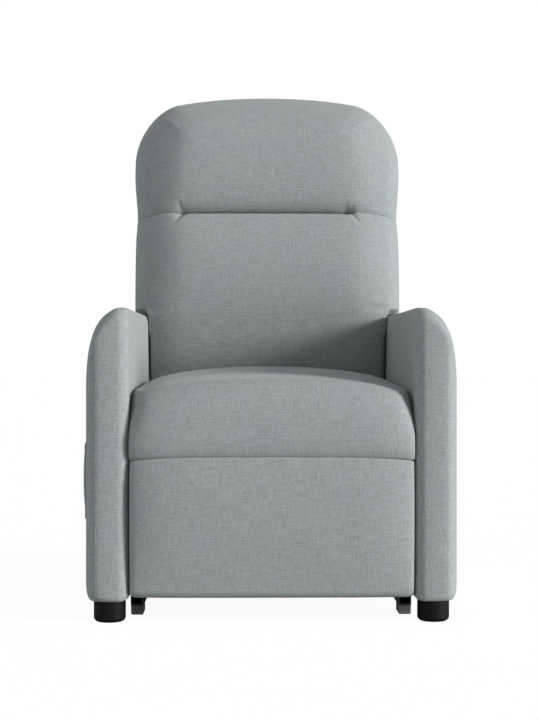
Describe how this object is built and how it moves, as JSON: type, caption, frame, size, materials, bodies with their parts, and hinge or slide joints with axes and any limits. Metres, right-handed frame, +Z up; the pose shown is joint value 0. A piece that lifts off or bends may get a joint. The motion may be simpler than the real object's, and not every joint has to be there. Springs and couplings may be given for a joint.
{
  "type": "lift recliner chair",
  "caption": "Upholstered power lift recliner: reclining back, folding-out footrest, two arms and feet on a steel lift base.",
  "frame": {"origin": "on the floor, at the middle of the chair's width and depth", "axes": "+Z up, -Y the front of the chair, +X to the right of a person who faces its front"},
  "size_m": [0.7185, 0.898, 1.0918],
  "materials": {
    "grey_fabric": "woven linen look upholstery, light grey",
    "black_steel": "satin black powder coat",
    "link_steel": "dark grey powder coat",
    "zinc_steel": "bright zinc plate",
    "black_plastic": "black moulded plastic, fine texture",
    "dark_plastic": "dark grey moulded plastic",
    "button_plastic": "light grey moulded plastic",
    "frame_wood": "planed softwood and plywood"
  },
  "bodies": {
    "base": {"left_base_rail": "black_steel", "right_base_rail": "black_steel", "base_crossbars": "black_steel", "base_glides": "black_plastic", "left_lift_bracket": "link_steel", "right_lift_bracket": "link_steel", "lift_clevis": "link_steel", "base_bolts": "zinc_steel"},
    "rear_lift_links": {"left_rear_lift_link": "link_steel", "right_rear_lift_link": "link_steel", "lift_cross_tube": "link_steel"},
    "front_lift_links": {"left_front_lift_link": "link_steel", "right_front_lift_link": "link_steel"},
    "lift_actuator": {"lift_motor": "dark_plastic", "lift_actuator_tube": "zinc_steel"},
    "lift_rod": {"lift_rod": "zinc_steel"},
    "chassis": {"left_side_plate": "link_steel", "right_side_plate": "link_steel", "lift_seat_pins": "zinc_steel", "chassis_cross_tubes": "link_steel", "left_arm": "grey_fabric", "right_arm": "grey_fabric", "front_left_foot": "black_plastic", "front_right_foot": "black_plastic", "rear_left_foot": "black_plastic", "rear_right_foot": "black_plastic", "seat_side_rails": "frame_wood", "seat_end_rails": "frame_wood", "seat_springs": "zinc_steel", "seat_cushion": "grey_fabric", "rear_panel": "grey_fabric", "control_box": "dark_plastic", "mounting_bolts": "zinc_steel", "side_pocket": "grey_fabric", "handset": "black_plastic", "recline_clevis": "link_steel"},
    "recline_actuator": {"recline_motor": "dark_plastic", "recline_actuator_tube": "zinc_steel"},
    "recline_rod": {"recline_rod": "zinc_steel"},
    "back": {"back_cushion": "grey_fabric", "outer_back": "grey_fabric", "back_stiles": "frame_wood", "back_rails": "frame_wood", "left_back_bracket": "link_steel", "right_back_bracket": "link_steel", "back_crossbar": "zinc_steel"},
    "recline_links": {"recline_links": "link_steel"},
    "front_footrest_links": {"front_footrest_links": "link_steel"},
    "rear_footrest_links": {"rear_footrest_links": "link_steel", "footrest_cross_tube": "link_steel"},
    "outer_footrest_links": {"outer_footrest_links": "link_steel"},
    "inner_footrest_links": {"inner_footrest_links": "link_steel"},
    "footrest": {"footrest_brackets": "link_steel", "footrest_board": "frame_wood", "footrest_pad": "grey_fabric"},
    "lift_button": {"lift_button": "button_plastic"},
    "lower_button": {"lower_button": "button_plastic"},
    "recline_button": {"recline_button": "button_plastic"},
    "sit_button": {"sit_button": "button_plastic"}
  },
  "joints": [
    {"name": "lift", "type": "hinge", "parent": "base", "child": "rear_lift_links", "pos_m": [0, -0.22, 0.074], "axis": [1, 0, 0], "range_deg": [0, 55]},
    {"name": "seat_tilt", "type": "hinge", "parent": "rear_lift_links", "child": "chassis", "pos_m": [0, 0.11, 0.066], "axis": [-1, 0, 0], "range_deg": [0, 31.75]},
    {"name": "front_lift_swing", "type": "hinge", "parent": "base", "child": "front_lift_links", "pos_m": [0, -0.285, 0.07], "axis": [1, 0, 0], "range_deg": [0, 61.52]},
    {"name": "lift_actuator_swing", "type": "hinge", "parent": "base", "child": "lift_actuator", "pos_m": [0, 0.276, 0.057], "axis": [-1, 0, 0], "range_deg": [0, 3.12]},
    {"name": "lift_rod_slide", "type": "slide", "parent": "lift_actuator", "child": "lift_rod", "axis": [0, -0.9892, 0.1463], "range_m": [0, 0.07307]},
    {"name": "recline", "type": "hinge", "parent": "chassis", "child": "back", "pos_m": [0, 0.17, 0.3], "axis": [-1, 0, 0], "range_deg": [0, 38]},
    {"name": "front_footrest_swing", "type": "hinge", "parent": "chassis", "child": "front_footrest_links", "pos_m": [0, -0.311, 0.316], "axis": [-1, 0, 0], "range_deg": [0, 88]},
    {"name": "rear_footrest_swing", "type": "hinge", "parent": "chassis", "child": "rear_footrest_links", "pos_m": [0, -0.26797, 0.29473], "axis": [-1, 0, 0], "range_deg": [0, 88]},
    {"name": "outer_footrest_fold", "type": "hinge", "parent": "front_footrest_links", "child": "outer_footrest_links", "pos_m": [0, -0.25095, 0.17855], "axis": [1, 0, 0], "range_deg": [0, 88]},
    {"name": "inner_footrest_fold", "type": "hinge", "parent": "front_footrest_links", "child": "inner_footrest_links", "pos_m": [0, -0.25095, 0.11655], "axis": [1, 0, 0], "range_deg": [0, 88]},
    {"name": "footrest_swing", "type": "hinge", "parent": "outer_footrest_links", "child": "footrest", "pos_m": [0, -0.35001, 0.22751], "axis": [-1, 0, 0], "range_deg": [0, 88]},
    {"name": "recline_link_swing", "type": "hinge", "parent": "rear_footrest_links", "child": "recline_links", "pos_m": [0, -0.25695, 0.26661], "axis": [1, 0, 0], "range_deg": [0, 89.31]},
    {"name": "recline_actuator_swing", "type": "hinge", "parent": "chassis", "child": "recline_actuator", "pos_m": [0, -0.3, 0.345], "axis": [1, 0, 0], "range_deg": [0, 2.1]},
    {"name": "recline_rod_slide", "type": "slide", "parent": "recline_actuator", "child": "recline_rod", "axis": [0, -0.9701, 0.2425], "range_m": [0, 0.04281]},
    {"name": "lift_button_press", "type": "slide", "parent": "chassis", "child": "lift_button", "axis": [1, 0, 0], "range_m": [0, 0.001], "stiffness_N_per_m": 800},
    {"name": "lower_button_press", "type": "slide", "parent": "chassis", "child": "lower_button", "axis": [1, 0, 0], "range_m": [0, 0.001], "stiffness_N_per_m": 800},
    {"name": "recline_button_press", "type": "slide", "parent": "chassis", "child": "recline_button", "axis": [1, 0, 0], "range_m": [0, 0.001], "stiffness_N_per_m": 800},
    {"name": "sit_button_press", "type": "slide", "parent": "chassis", "child": "sit_button", "axis": [1, 0, 0], "range_m": [0, 0.001], "stiffness_N_per_m": 800}
  ],
  "couplings": [
    {"joint": "seat_tilt", "follows": "lift", "ratio": 0.57735},
    {"joint": "front_lift_swing", "follows": "lift", "ratio": 1.1185},
    {"joint": "lift_actuator_swing", "follows": "lift", "ratio": 0.056778},
    {"joint": "lift_rod_slide", "follows": "lift", "m_per_rad": 0.076121},
    {"joint": "front_footrest_swing", "follows": "recline", "ratio": 2.3158},
    {"joint": "rear_footrest_swing", "follows": "recline", "ratio": 2.3158},
    {"joint": "outer_footrest_fold", "follows": "recline", "ratio": 2.3158},
    {"joint": "inner_footrest_fold", "follows": "recline", "ratio": 2.3158},
    {"joint": "footrest_swing", "follows": "recline", "ratio": 2.3158},
    {"joint": "recline_link_swing", "follows": "recline", "ratio": 2.3503},
    {"joint": "recline_actuator_swing", "follows": "recline", "ratio": 0.055276},
    {"joint": "recline_rod_slide", "follows": "recline", "m_per_rad": 0.064552}
  ]
}
